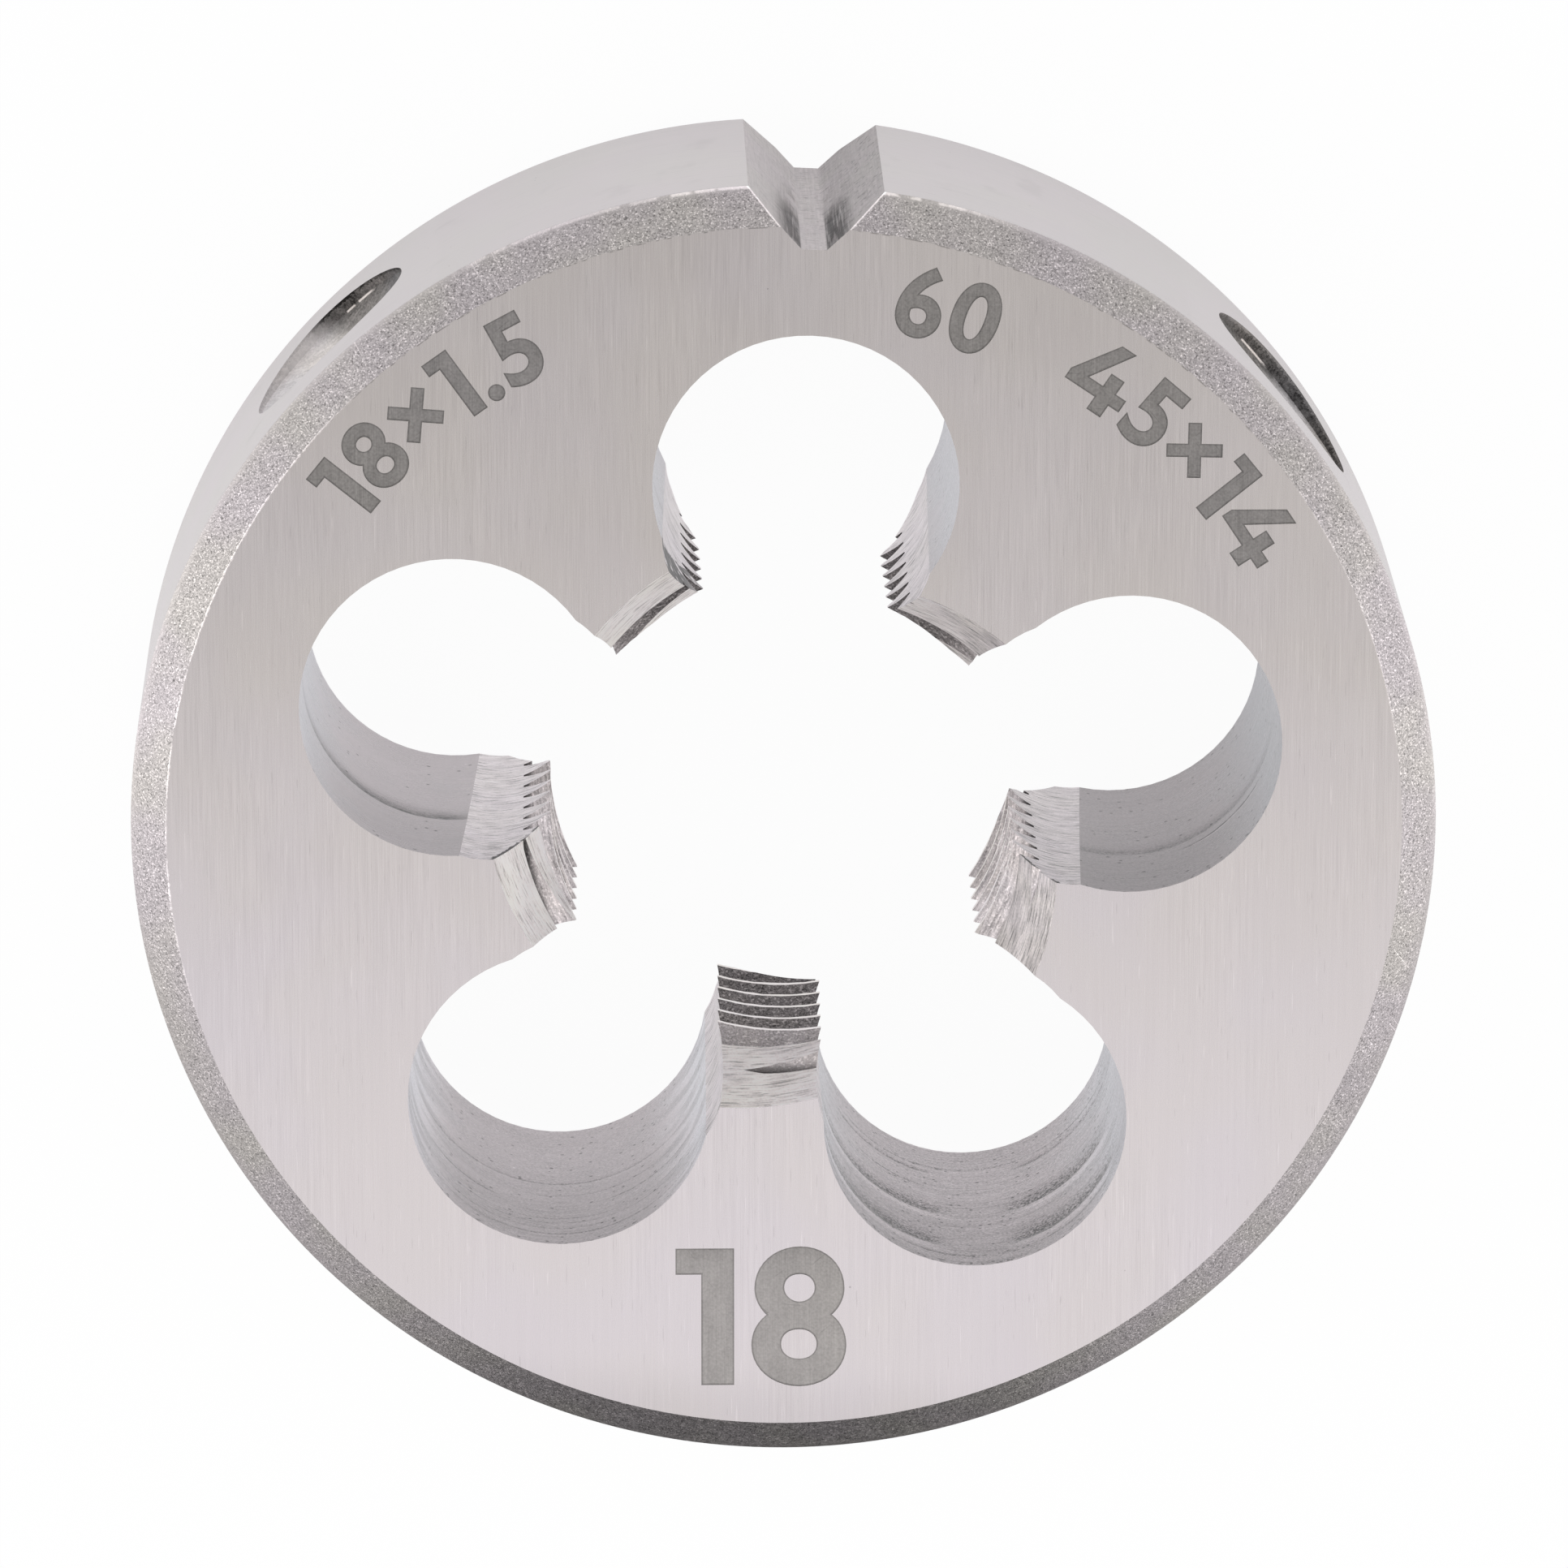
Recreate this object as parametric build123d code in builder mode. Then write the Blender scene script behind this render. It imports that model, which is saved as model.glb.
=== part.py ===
"""Round threading die, M18 x 1.5 right-hand, closed pattern, blank 45 x 14 mm.

The die lies on its rear face: origin at the centre of that face, +Z along the axis and out of the
front face, +Y towards the V notch. All sizes are in millimetres and degrees.
"""
import os
from math import ceil, radians, sqrt, tan

from build123d import *

os.makedirs("parts", exist_ok=True)

# Blank
outside_diameter = 45.0
thickness = 14.0
front_chamfer_radial = 1.24
front_chamfer_axial = 1.08
rear_chamfer = 1.3

# Thread: the die's crests cut the root of the screw, so they stand inside its minor diameter
thread_diameter = 18.0
thread_pitch = 1.5
flank_angle = 60.0
root_clearance = 0.03
minor_drop_per_pitch = 1.2269
thread_start_height = 1.27

# Chip holes and the lands left between them
land_count = 5
chip_hole_diameter = 10.5
chip_hole_circle = 24.5
first_chip_hole_angle = 90.0

# Rake faces, ground into both sides of every land with a small wheel. The waist is where a land is
# thinnest, measured from its middle line to its cutting-edge side and to its heel side.
rake_wheel_radius = 3.5
rake_wheel_tilt = 1.8
waist_depth = 0.92
edge_half_waist = 1.66
heel_half_waist = 1.57

# Lead-ins, one on each face, relieved behind the cutting edge
lead_rise = 0.82
lead_half_angle = 30.0
lead_relief = 1.5

# V notch
notch_depth = 2.02
notch_floor = 0.85
notch_angle = 90.0
notch_position = 90.6

# Dimples for the clamp screws of the die stock
dimple_diameter = 7.0
dimple_wall = 0.45
dimple_point_angle = 118.0
dimple_spread = 48.0

# Room that a cutter has beyond the metal it removes
overrun = 1.0

radius = outside_diameter / 2
crest_radius = (thread_diameter - minor_drop_per_pitch * thread_pitch) / 2
root_radius = thread_diameter / 2 + root_clearance
land_spacing = 360 / land_count
first_land_angle = first_chip_hole_angle + land_spacing / 2


# One land's lead-in cutter, for a land on +X: a cone whose axis is set off to the side, so that the
# land falls away from its cutting edge (+Y side) to its heel, kept within that land's own sector.
lead_taper = tan(radians(lead_half_angle))
cone_face_radius = sqrt((thread_diameter / 2 + lead_rise) ** 2 + lead_relief**2)
cone_depth = (cone_face_radius - crest_radius) / lead_taper + overrun
cone_inner_radius = cone_face_radius - cone_depth * lead_taper
cone_outer_radius = cone_face_radius + overrun * lead_taper

with BuildPart() as lead_cutter:
    with Locations((0, -lead_relief, thickness - cone_depth)):
        Cone(
            bottom_radius=cone_inner_radius,
            top_radius=cone_outer_radius,
            height=cone_depth + overrun,
            align=(Align.CENTER, Align.CENTER, Align.MIN),
        )
    with BuildSketch(Plane.XY.offset(thickness - cone_depth)) as sector:
        sector_reach = outside_diameter
        sector_half_width = sector_reach * tan(radians(land_spacing / 2))
        Polygon(
            (0, 0),
            (sector_reach, -sector_half_width),
            (sector_reach, sector_half_width),
            align=None,
        )
    extrude(amount=cone_depth + overrun, mode=Mode.INTERSECT)

# One land's pair of rake-wheel cuts, for a land on +X. The wheel leans outwards at the front face on
# the heel side and at the rear face on the edge side, so that the die cuts alike from both faces.
with BuildPart() as rake_cutter:
    for side, half_waist in ((1, edge_half_waist), (-1, heel_half_waist)):
        wheel_offset = side * (half_waist + rake_wheel_radius)
        wheel_centre = (crest_radius + waist_depth, wheel_offset, thickness / 2)
        with Locations(Location(wheel_centre, (0, -side * rake_wheel_tilt, 0))):
            Cylinder(radius=rake_wheel_radius, height=thickness + 2 * overrun)

# One dimple's drill, standing on the rim at +X and pointing inwards along -X
drill_point = dimple_diameter / 2 / tan(radians(dimple_point_angle / 2))
with BuildPart() as dimple_drill:
    with BuildSketch(Plane.XZ) as drill_profile:
        Polygon(
            (radius - dimple_wall - drill_point, 0),
            (radius - dimple_wall, dimple_diameter / 2),
            (radius + overrun, dimple_diameter / 2),
            (radius + overrun, 0),
            align=None,
        )
    revolve(axis=Axis.X)

# One turn of the thread's V groove. It starts and ends in the middle of the first chip hole, so that
# the turns stacked above each other join where there is no metal.
flank_rise = tan(radians(flank_angle / 2))
groove_root = thread_pitch / 8
groove_inner_radius = crest_radius - thread_pitch / 12
groove_mouth = groove_root + 2 * (root_radius - groove_inner_radius) * flank_rise
with BuildPart() as thread_turn:
    with BuildLine() as helix:
        Helix(pitch=thread_pitch, height=thread_pitch, radius=root_radius)
    with BuildSketch(Plane(origin=helix.line @ 0, x_dir=(1, 0, 0), z_dir=(0, -1, 0))) as groove:
        Polygon(
            (0, -groove_root / 2),
            (0, groove_root / 2),
            (groove_inner_radius - root_radius, groove_mouth / 2),
            (groove_inner_radius - root_radius, -groove_mouth / 2),
            align=None,
        )
    sweep(path=helix.line, is_frenet=True)
thread_turn_count = ceil(thickness / thread_pitch) + 2

with BuildPart() as threading_die:
    # Turned blank with both chamfers
    with BuildSketch(Plane.XZ) as blank_profile:
        Polygon(
            (0, 0),
            (radius - rear_chamfer, 0),
            (radius, rear_chamfer),
            (radius, thickness - front_chamfer_axial),
            (radius - front_chamfer_radial, thickness),
            (0, thickness),
            align=None,
        )
    revolve(axis=Axis.Z)

    # Bore to the crests, and the chip holes that open into it
    with BuildSketch() as holes:
        Circle(crest_radius)
        with PolarLocations(chip_hole_circle / 2, land_count, start_angle=first_chip_hole_angle):
            Circle(chip_hole_diameter / 2)
    extrude(amount=thickness, mode=Mode.SUBTRACT)

    # Rake faces and lead-ins of every land
    with PolarLocations(0, land_count, start_angle=first_land_angle):
        add(rake_cutter.part, mode=Mode.SUBTRACT)
        add(lead_cutter.part, mode=Mode.SUBTRACT)
        with Locations(Location((0, 0, thickness), (180, 0, 0))):
            add(lead_cutter.part, mode=Mode.SUBTRACT)

    # V notch down the rim
    notch_half_mouth = notch_floor / 2 + (notch_depth + overrun) * tan(radians(notch_angle / 2))
    with BuildSketch() as notch:
        with Locations(Location((0, 0), notch_position)):
            Polygon(
                (radius - notch_depth, -notch_floor / 2),
                (radius + overrun, -notch_half_mouth),
                (radius + overrun, notch_half_mouth),
                (radius - notch_depth, notch_floor / 2),
                align=None,
            )
    extrude(amount=thickness, mode=Mode.SUBTRACT)

    # Dimples round the rim, at half thickness
    for direction in (90, 270):
        for turn in (direction - dimple_spread, direction + dimple_spread):
            with Locations(Location((0, 0, thickness / 2), (0, 0, turn))):
                add(dimple_drill.part, mode=Mode.SUBTRACT)

    # Thread, one turn above the other from below the rear face to above the front face
    for turn in range(thread_turn_count):
        turn_height = thread_start_height + (turn - 2) * thread_pitch
        with Locations(Location((0, 0, turn_height), (0, 0, first_chip_hole_angle))):
            add(thread_turn.part, mode=Mode.SUBTRACT)

threading_die.part.label = "threading_die"
export_step(threading_die.part, "parts/threading_die.step")
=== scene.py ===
from collections import namedtuple
from math import cos, pi, radians, sin, sqrt, tan

import bmesh
import bpy
import numpy as np
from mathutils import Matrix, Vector, noise
from mathutils.geometry import delaunay_2d_cdt


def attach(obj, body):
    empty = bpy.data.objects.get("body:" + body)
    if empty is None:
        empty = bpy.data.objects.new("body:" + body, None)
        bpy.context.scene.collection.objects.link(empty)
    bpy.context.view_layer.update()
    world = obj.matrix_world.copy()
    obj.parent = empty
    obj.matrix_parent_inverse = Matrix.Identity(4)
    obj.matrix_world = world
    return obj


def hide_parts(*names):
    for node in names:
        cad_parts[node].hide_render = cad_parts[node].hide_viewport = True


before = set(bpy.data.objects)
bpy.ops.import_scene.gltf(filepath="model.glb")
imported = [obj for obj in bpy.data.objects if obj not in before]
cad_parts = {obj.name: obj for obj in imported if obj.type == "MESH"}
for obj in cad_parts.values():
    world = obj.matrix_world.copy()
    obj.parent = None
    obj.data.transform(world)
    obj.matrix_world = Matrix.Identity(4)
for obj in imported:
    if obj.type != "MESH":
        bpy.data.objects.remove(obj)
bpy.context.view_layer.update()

MM = 0.001

# ---------------- the die's own sizes, in millimetres
RADIUS, THICKNESS = 22.5, 14.0
FRONT_CHAMFER_RADIAL, FRONT_CHAMFER_AXIAL, REAR_CHAMFER = 1.24, 1.08, 1.3
FACE_RADIUS = RADIUS - FRONT_CHAMFER_RADIAL
THREAD_RADIUS, PITCH, CREST_RADIUS, ROOT_RADIUS = 9.0, 1.5, 8.0798, 9.03
THREAD_START_HEIGHT, HALF_FLANK_ANGLE = 1.27, 30.0
LAND_COUNT = 5
SPACING = 360 // LAND_COUNT
HOLE_RADIUS, HOLE_CIRCLE_RADIUS = 5.25, 12.25
HOLE_ANGLES = [(90 + SPACING * k) % 360 for k in range(LAND_COUNT)]
LAND_ANGLES = [(angle + SPACING // 2) % 360 for angle in HOLE_ANGLES]
TOP_HOLE, LEFT_HOLE, LOWER_LEFT_HOLE, LOWER_RIGHT_HOLE, RIGHT_HOLE = HOLE_ANGLES
LEFT_LAND, RIGHT_LAND = LAND_ANGLES[1], LAND_ANGLES[3]
WHEEL_RADIUS, WHEEL_TILT, WAIST_DEPTH = 3.5, 1.8, 0.92
EDGE_HALF_WAIST, HEEL_HALF_WAIST = 1.66, 1.57
LEAD_RISE, LEAD_HALF_ANGLE, LEAD_RELIEF = 0.82, 30.0, 1.5
NOTCH_FLOOR_RADIUS, NOTCH_HALF_FLOOR, NOTCH_ANGLE = 20.48, 0.425, 90.6
DIMPLE_RADIUS, DIMPLE_WALL_RADIUS, DIMPLE_POINT_ANGLE = 3.5, 22.05, 118.0
LEFT_DIMPLE, RIGHT_DIMPLE = 138, 42
DIMPLE_ANGLES = (LEFT_DIMPLE, RIGHT_DIMPLE, 222, 318)

# A ring that a worn tool left in a chip hole: its upper and lower height, the angles about the hole's
# axis between which it shows, how deep it is and how much painted shade darkens it.
Ring = namedtuple("Ring", "top bottom first last depth dark")
HOLE_RINGS = {
    LEFT_HOLE: [
        Ring(9.05, 7.45, 24, 116, 0.06, 0.40),
    ],
    RIGHT_HOLE: [
        Ring(9.05, 7.80, -122, -24, 0.04, 0.22), Ring(9.88, 9.72, -80, -42, 0.0, 0.55),
        Ring(9.98, 9.90, -76, -44, 0.0, -0.25),
    ],
    LOWER_LEFT_HOLE: [
        Ring(12.80, 12.62, -20, 112, 0.0, 0.16), Ring(12.15, 12.02, -16, 60, 0.0, 0.12),
        Ring(11.50, 11.38, 10, 104, 0.0, 0.12), Ring(10.95, 10.85, -10, 96, 0.0, 0.10),
        Ring(9.48, 9.32, -18, 12, 0.0, 0.30), Ring(9.42, 9.28, 60, 98, 0.0, 0.22),
        Ring(8.20, 8.05, 30, 90, 0.0, 0.10), Ring(6.75, 6.52, -34, 98, 0.02, 0.22),
    ],
    LOWER_RIGHT_HOLE: [
        Ring(11.85, 9.60, -112, -46, 0.06, 0.36), Ring(11.95, 9.55, -14, 34, 0.06, 0.38),
        Ring(7.98, 6.10, -112, -44, 0.06, 0.36), Ring(8.05, 5.95, -14, 30, 0.06, 0.40),
        Ring(4.90, 4.62, -78, -50, 0.0, 0.22), Ring(3.12, 2.66, -90, -48, 0.02, 0.26),
        Ring(3.20, 2.80, -12, 48, 0.02, 0.22), Ring(2.34, 2.12, -90, 44, 0.0, 0.18),
        Ring(12.9, 12.7, -60, 30, 0.0, 0.14),
    ],
    TOP_HOLE: [
        Ring(9.4, 8.2, 20, 124, 0.03, 0.16), Ring(10.6, 10.45, -110, -60, 0.0, 0.12),
    ],
}

# How light each chip hole's wall is, and how strong its texture
HOLE_TONES = {LEFT_HOLE: (0.985, 0.35), RIGHT_HOLE: (0.69, 0.9), LOWER_LEFT_HOLE: (0.93, 1.1),
              LOWER_RIGHT_HOLE: (0.90, 1.7), TOP_HOLE: (0.95, 0.8)}

# ---------------- camera
# As fitted to the photo: the lens for a frame this wide in millimetres, the place in metres and the turn
FRAME_WIDTH, LENS = 36, 269.66
CAMERA_PLACE = (-0.01346, 0.10190, 0.40465)
CAMERA_TURN = (-0.252464, -0.018752, 0.059806)
camera_data = bpy.data.cameras.new("camera")
camera_data.sensor_width = FRAME_WIDTH
camera_data.lens = LENS
camera_data.clip_start = 0.01
camera_data.clip_end = 10
camera = bpy.data.objects.new("camera", camera_data)
camera.location = CAMERA_PLACE
camera.rotation_euler = CAMERA_TURN
bpy.context.scene.collection.objects.link(camera)
bpy.context.scene.camera = camera
bpy.context.scene.view_settings.view_transform = "Standard"


# ---------------- the die's surfaces
# Each surface is a function that gives, for an array of points, their signed distances from it and the
# outward normals there.
TINY = 1e-9


def unit(v):
    """Vectors of length 1."""
    return v / np.linalg.norm(v, axis=1, keepdims=True)


def polar(p):
    """Radius, radial unit vector and tangential unit vector of points about the die's axis."""
    r = np.hypot(p[:, 0], p[:, 1])
    safe = np.maximum(r, TINY)
    radial = np.stack([p[:, 0] / safe, p[:, 1] / safe, np.zeros(len(p))], 1)
    tangent = np.stack([-radial[:, 1], radial[:, 0], np.zeros(len(p))], 1)
    return r, radial, tangent


def plane(normal, point):
    """A plane through the point."""
    normal = np.array(normal, float)
    normal /= np.linalg.norm(normal)

    def distance(p):
        return (p - point) @ normal, np.tile(normal, (len(p), 1))

    return distance


def cylinder(centre, axis, radius, side):
    """A cylinder, with side 1 for a shaft and -1 for a bore."""
    centre, axis = np.array(centre, float), np.array(axis, float)

    def distance(p):
        d = p - centre
        d = d - np.outer(d @ axis, axis)
        r = np.linalg.norm(d, axis=1)
        return side * (r - radius), side * d / np.maximum(r, TINY)[:, None]

    return distance


def cone(centre, axis, radius, slope, side):
    """A cone with this radius where its axis passes the centre, growing by slope along the axis."""
    centre, axis = np.array(centre, float), np.array(axis, float)
    norm = sqrt(1 + slope**2)

    def distance(p):
        d = p - centre
        s = d @ axis
        d = d - np.outer(s, axis)
        r = np.linalg.norm(d, axis=1)
        n = d / np.maximum(r, TINY)[:, None] - slope * axis
        return side * (r - radius - slope * s) / norm, side * n / norm

    return distance


def flank(side):
    """The groove's upper flank for side 1 and its lower flank for side -1."""
    rise = tan(radians(HALF_FLANK_ANGLE))

    def distance(p):
        r, radial, tangent = polar(p)
        turn = np.arctan2(p[:, 1], p[:, 0]) / (2 * pi) - TOP_HOLE / 360
        height = p[:, 2] - THREAD_START_HEIGHT - PITCH * turn
        height = (height + PITCH / 2) % PITCH - PITCH / 2
        half = PITCH / 16 + (ROOT_RADIUS - r) * rise
        lean = PITCH / (2 * pi * np.maximum(r, TINY))
        n = -rise * radial + side * lean[:, None] * tangent - side * np.array([0, 0, 1.0])
        norm = np.linalg.norm(n, axis=1)
        return (half - side * height) / norm, n / norm[:, None]

    return distance


def turned(angle, x, y, z=0.0):
    """A point or direction given for a feature on +X, turned to where that feature is."""
    a = radians(angle)
    return np.array([x * cos(a) - y * sin(a), x * sin(a) + y * cos(a), z])


Z = (0.0, 0.0, 1.0)
surfaces = [
    ("face", plane((0, 0, 1), (0, 0, THICKNESS))),
    ("rear", plane((0, 0, -1), (0, 0, 0))),
    ("rim", cylinder((0, 0, 0), Z, RADIUS, 1)),
    ("chamfer", cone((0, 0, THICKNESS), Z, FACE_RADIUS, -FRONT_CHAMFER_RADIAL / FRONT_CHAMFER_AXIAL, 1)),
    ("chamfer", cone((0, 0, 0), Z, RADIUS - REAR_CHAMFER, 1, 1)),
    ("crest", cylinder((0, 0, 0), Z, CREST_RADIUS, -1)),
    ("flank", cylinder((0, 0, 0), Z, ROOT_RADIUS, -1)),
    ("flank", flank(1)),
    ("flank", flank(-1)),
]
for angle in HOLE_ANGLES:
    centre = turned(angle, HOLE_CIRCLE_RADIUS, 0)
    surfaces.append((f"hole_{angle}", cylinder(centre, Z, HOLE_RADIUS, -1)))
lead_taper = tan(radians(LEAD_HALF_ANGLE))
lead_radius = sqrt((THREAD_RADIUS + LEAD_RISE) ** 2 + LEAD_RELIEF**2)
for angle in LAND_ANGLES:
    for side, waist in ((1, EDGE_HALF_WAIST), (-1, HEEL_HALF_WAIST)):
        lean = radians(-side * WHEEL_TILT)
        centre = turned(angle, CREST_RADIUS + WAIST_DEPTH, side * (waist + WHEEL_RADIUS), THICKNESS / 2)
        axis = turned(angle, sin(lean), 0, cos(lean))
        surfaces.append(("rake", cylinder(centre, axis, WHEEL_RADIUS, -1)))
    surfaces.append(("lead", cone(turned(angle, 0, -LEAD_RELIEF, THICKNESS), Z, lead_radius, lead_taper, -1)))
    surfaces.append(("lead", cone(turned(angle, 0, LEAD_RELIEF, 0), Z, lead_radius, -lead_taper, -1)))
surfaces.append(("notch", plane(turned(NOTCH_ANGLE, 1, 0), turned(NOTCH_ANGLE, NOTCH_FLOOR_RADIUS, 0))))
for side in (1, -1):
    edge = turned(NOTCH_ANGLE, NOTCH_FLOOR_RADIUS, side * NOTCH_HALF_FLOOR)
    surfaces.append(("notch", plane(turned(NOTCH_ANGLE, 1, -side), edge)))
dimple_slope = tan(radians(DIMPLE_POINT_ANGLE / 2))
middle = np.array([0, 0, THICKNESS / 2])
for angle in DIMPLE_ANGLES:
    axis = turned(angle, 1, 0)
    foot = middle + axis * DIMPLE_WALL_RADIUS
    surfaces.append(("dimple_wall", cylinder(middle, axis, DIMPLE_RADIUS, -1)))
    surfaces.append(("dimple_floor", cone(foot, axis, DIMPLE_RADIUS, dimple_slope, -1)))
names = [name for name, _ in surfaces]

# Longest edge of the visible mesh on each kind of surface. Flat faces need no more points.
LONGEST = {"rim": 1.3, "chamfer": 0.7, "hole": 0.56, "rake": 0.56, "lead": 0.34, "crest": 0.34, "flank": 0.34,
           "dimple_wall": 0.4, "dimple_floor": 0.5, "notch": 1.2}
REGIONS = ["face", "rear", "rim", "chamfer", "crest", "flank", "rake", "lead", "notch", "dimple_wall",
           "dimple_floor", "mark", "mark_edge"] + [f"hole_{angle}" for angle in HOLE_ANGLES]


def kind(name):
    """A surface's name without its angle."""
    return name.split("_")[0] if name.startswith("hole") else name


TURN_COST, NUDGE = 0.02, 1e-15


def classify(verts, tris):
    """The surface that every triangle lies on."""
    centre = verts[tris].mean(1)
    a, b, c = (verts[tris[:, k]] for k in range(3))
    normal = unit(np.cross(b - a, c - a) + NUDGE)
    best = np.full(len(tris), np.inf)
    chosen = np.full(len(tris), -1)
    for i, (_, distance) in enumerate(surfaces):
        worst = np.abs(distance(verts)[0])[tris].max(1)
        _, n = distance(centre)
        cost = worst + TURN_COST * (1 - (n * normal).sum(1))
        better = cost < best
        best[better], chosen[better] = cost[better], i
    return chosen


# ---------------- the fine mesh
WELD = 2e-6
SLICE_STEP, SLICE_END, LEAST_PIECE, RING_LIP = 0.35, 0.2, 0.02, 0.12
HALVINGS, PROJECTIONS = 9, 6
UNLIMITED = 1e9


def triangulate(**settings):
    bmesh.ops.triangulate(bm, faces=[f for f in bm.faces if len(f.verts) > 3], **settings)


def slice_levels():
    """Heights at which the walls are cut across, with the ones where a ring's depth changes."""
    levels = set(np.round(np.arange(SLICE_STEP, THICKNESS - SLICE_END, SLICE_STEP), 3))
    for rings in HOLE_RINGS.values():
        for ring in rings:
            if ring.depth:
                levels |= {ring.top, ring.top - RING_LIP, ring.bottom}
    return sorted(levels)


def slice_walls(level):
    """Cut the tall narrow facets of holes and rake faces across at this height."""
    walls = [f for f in bm.faces if kind(names[f[layer]]) in ("hole", "rake")
             and min(v.co.z for v in f.verts) < level - LEAST_PIECE
             and max(v.co.z for v in f.verts) > level + LEAST_PIECE]
    edges = {e for f in walls for e in f.edges}
    corners = {v for f in walls for v in f.verts}
    bmesh.ops.bisect_plane(bm, geom=list(corners) + list(edges) + walls, dist=LEAST_PIECE / 2,
                           plane_co=(0, 0, level), plane_no=(0, 0, 1))


def halve_long_edges():
    """Halve edges until none is longer than its surface allows."""
    limit = [LONGEST.get(kind(name), UNLIMITED) for name in names]
    for _ in range(HALVINGS):
        long_edges = [e for e in bm.edges
                      if e.calc_length() > min((limit[f[layer]] for f in e.link_faces), default=UNLIMITED)]
        if not long_edges:
            break
        bmesh.ops.subdivide_edges(bm, edges=long_edges, cuts=1)
        triangulate(quad_method="SHORT_EDGE")


bm = bmesh.new()
bm.from_mesh(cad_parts["threading_die"].data)
bmesh.ops.remove_doubles(bm, verts=bm.verts, dist=WELD)
triangulate()
bm.verts.index_update()
verts = np.array([v.co[:] for v in bm.verts]) / MM
tris = np.array([[v.index for v in f.verts] for f in bm.faces])
layer = bm.faces.layers.int.new("surface")
for f, i in zip(bm.faces, classify(verts, tris)):
    f[layer] = int(i)
for v in bm.verts:
    v.co /= MM

# The walls are cut across first, so that halving the long edges afterwards gives even triangles.
for level in slice_levels():
    slice_walls(level)
triangulate()
halve_long_edges()

# Every point is put back on the exact surfaces that meet in it.
bm.verts.index_update()
verts = np.array([v.co[:] for v in bm.verts])
meeting = [set() for _ in bm.verts]
for f in bm.faces:
    for v in f.verts:
        meeting[v.index].add(f[layer])
members = [[] for _ in surfaces]
for i, found in enumerate(meeting):
    for k in found:
        members[k].append(i)
for _ in range(PROJECTIONS):
    for k, (_, distance) in enumerate(surfaces):
        index = np.array(members[k], int)
        if len(index):
            d, n = distance(verts[index])
            verts[index] -= d[:, None] * n


def soft(x, low, high):
    """0 below low, 1 above high and smooth between."""
    t = np.clip((x - low) / (high - low), 0, 1)
    return t * t * (3 - 2 * t)


# The tool rings are cut into the hole walls, and fade out before a wall ends.
RAKE_FADE, END_FADE, SPAN_FADE, LIP_SHARE = (0.05, 0.7), (0, 0.4), 6, 0.08
rake_faces = [distance for name, distance in surfaces if name == "rake"]
for k, (name, distance) in enumerate(surfaces):
    if kind(name) != "hole":
        continue
    angle = int(name.split("_")[1])
    index = np.array([i for i in members[k] if len(meeting[i]) == 1])
    p = verts[index]
    away = p - turned(angle, HOLE_CIRCLE_RADIUS, 0)
    psi = (np.degrees(np.arctan2(away[:, 1], away[:, 0])) - angle + 180) % 360 - 180
    border = np.min([np.abs(rake(p)[0]) for rake in rake_faces], axis=0)
    fade = soft(border, *RAKE_FADE) * soft(p[:, 2], *END_FADE) * soft(THICKNESS - p[:, 2], *END_FADE)
    cut = np.zeros(len(p))
    for ring in HOLE_RINGS[angle]:
        fall = (ring.top - p[:, 2]) / (ring.top - ring.bottom)
        span = (soft(psi, ring.first - SPAN_FADE, ring.first + SPAN_FADE)
                * (1 - soft(psi, ring.last - SPAN_FADE, ring.last + SPAN_FADE)))
        cut += ring.depth * soft(fall, 0, LIP_SHARE) * (1 - soft(fall, LIP_SHARE, 1)) * span
    verts[index] -= (cut * fade)[:, None] * distance(p)[1]

# The crests of a ground thread are a little ragged.
RAGGED_DEPTH, RAGGED_FINENESS = 0.02, 4.0
crest = names.index("crest")
for i, found in enumerate(meeting):
    if crest in found and len(found) == 2 and any(names[k] == "flank" for k in found):
        ragged = noise.noise(Vector(verts[i] * RAGGED_FINENESS)) * RAGGED_DEPTH
        verts[i, :2] *= 1 + ragged / CREST_RADIUS

for v, co in zip(bm.verts, verts):
    v.co = co

# ---------------- etched numbers
# Heights, gaps and depths are in millimetres. The arc marks have a radius and a starting angle, and the
# one mark that stands straight has a centre, a width and a height.
# Inside its outline each mark has a band 0.05 mm wide that takes a darker level, as painted shade.
MARK_DEPTH, MARK_SHADE_BAND, CAMERA_ROLL = 0.025, 0.05, 3.4
MARK_HEIGHT, MARK_GAP = 2.35, 0.30
ARC_MARKS = [("18×1.5", 18.2, 146.0), ("60", 18.05, 81.8), ("45×14", 18.2, 62.5)]
STRAIGHT_MARK = ("18", (0.95, -17.3), 7.4, 4.7)
WEIGHT, CURVE_STEPS = 0.028, 10


def glyph(character, weight):
    """Outline segments of a character in the built-in font, 1 em high and bolder by the weight."""
    curve = bpy.data.curves.new("glyph", "FONT")
    curve.body = character
    curve.offset = weight
    curve.resolution_u = CURVE_STEPS
    text = bpy.data.objects.new("glyph", curve)
    bpy.context.scene.collection.objects.link(text)
    mesh = bpy.data.meshes.new_from_object(text)
    shape = bmesh.new()
    shape.from_mesh(mesh)
    bmesh.ops.remove_doubles(shape, verts=shape.verts, dist=1e-5)
    outline = np.array([[v.co[:2] for v in e.verts] for e in shape.edges if len(e.link_faces) == 1])
    shape.free()
    bpy.data.objects.remove(text)
    bpy.data.curves.remove(curve)
    bpy.data.meshes.remove(mesh)
    return outline


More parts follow.
